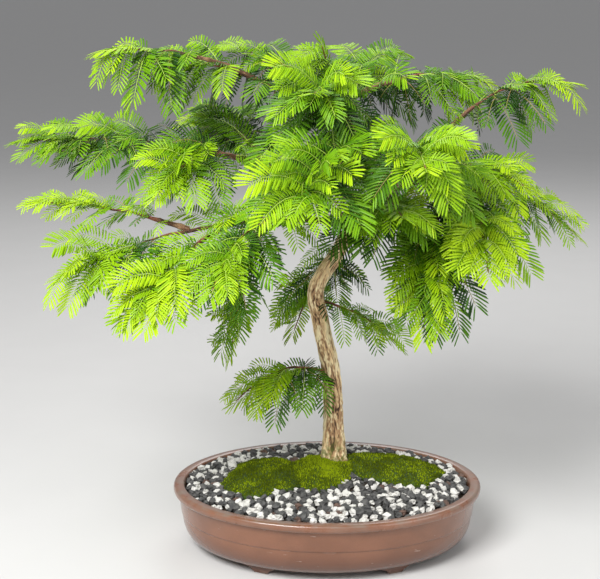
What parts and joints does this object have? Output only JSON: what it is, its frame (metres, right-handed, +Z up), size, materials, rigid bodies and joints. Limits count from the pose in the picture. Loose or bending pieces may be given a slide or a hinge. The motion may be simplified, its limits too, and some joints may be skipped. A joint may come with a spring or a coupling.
{
  "type": "dawn redwood bonsai",
  "caption": "Small leaning conifer with a wide layered crown of feathery sprays, in an oval unglazed pot of soil, moss and gravel.",
  "frame": {"origin": "on the surface the pot's feet stand on, under the middle of the whole tree", "axes": "+Z up; +X to the right along the pot's length, towards the crown's right side; -Y is the front"},
  "size_m": [0.5512, 0.3957, 0.496],
  "materials": {
    "pot_clay": "unglazed stoneware, satin brown",
    "gravel": "loose white and dark grey grit over soil",
    "moss": "matte cushion moss",
    "bark": "fibrous fissured bark, matte",
    "twig_bark": "thin red-brown bark, matte",
    "needles_lime": "soft young needles, satin",
    "needles_green": "soft needles, satin",
    "needles_deep": "older needles, satin"
  },
  "bodies": {
    "root": {"pot": "pot_clay", "soil": "gravel", "moss": "moss", "trunk": "bark", "bough_left_low": "twig_bark", "bough_left_low_front": "twig_bark", "bough_left_inner": "twig_bark", "bough_left_hang": "twig_bark", "bough_left_back_low": "twig_bark", "bough_left_pale": "twig_bark", "bough_left_far": "twig_bark", "bough_left_far_low": "twig_bark", "bough_left_mid": "twig_bark", "bough_back_left": "twig_bark", "bough_leader": "twig_bark", "bough_left_top": "twig_bark", "bough_left_top_tip": "twig_bark", "bough_apex_left": "twig_bark", "bough_back_high": "twig_bark", "bough_front_top": "twig_bark", "bough_front_left": "twig_bark", "bough_front_right": "twig_bark", "bough_right_top": "twig_bark", "bough_apex_right": "twig_bark", "bough_right_mid": "twig_bark", "bough_right_far": "twig_bark", "bough_right_front": "twig_bark", "bough_right_hang": "twig_bark", "bough_right_back": "twig_bark", "bough_back": "twig_bark", "foliage_left_low": "needles_lime", "foliage_left_low_front": "needles_green", "foliage_left_inner": "needles_deep", "foliage_left_hang": "needles_lime", "foliage_left_back_low": "needles_green", "foliage_left_pale": "needles_deep", "foliage_left_far": "needles_lime", "foliage_left_far_low": "needles_green", "foliage_left_mid": "needles_deep", "foliage_back_left": "needles_lime", "foliage_leader": "needles_green", "foliage_left_top": "needles_deep", "foliage_left_top_tip": "needles_lime", "foliage_apex_left": "needles_green", "foliage_back_high": "needles_deep", "foliage_front_top": "needles_lime", "foliage_front_left": "needles_green", "foliage_front_right": "needles_deep", "foliage_front_low": "needles_lime", "foliage_right_top": "needles_green", "foliage_apex_right": "needles_deep", "foliage_right_mid": "needles_lime", "foliage_right_far": "needles_green", "foliage_right_front": "needles_deep", "foliage_right_hang": "needles_lime", "foliage_right_back": "needles_green", "foliage_back": "needles_deep", "foliage_behind_trunk": "needles_lime", "foliage_low_left": "needles_green", "foliage_low_right": "needles_deep"}
  },
  "joints": []
}
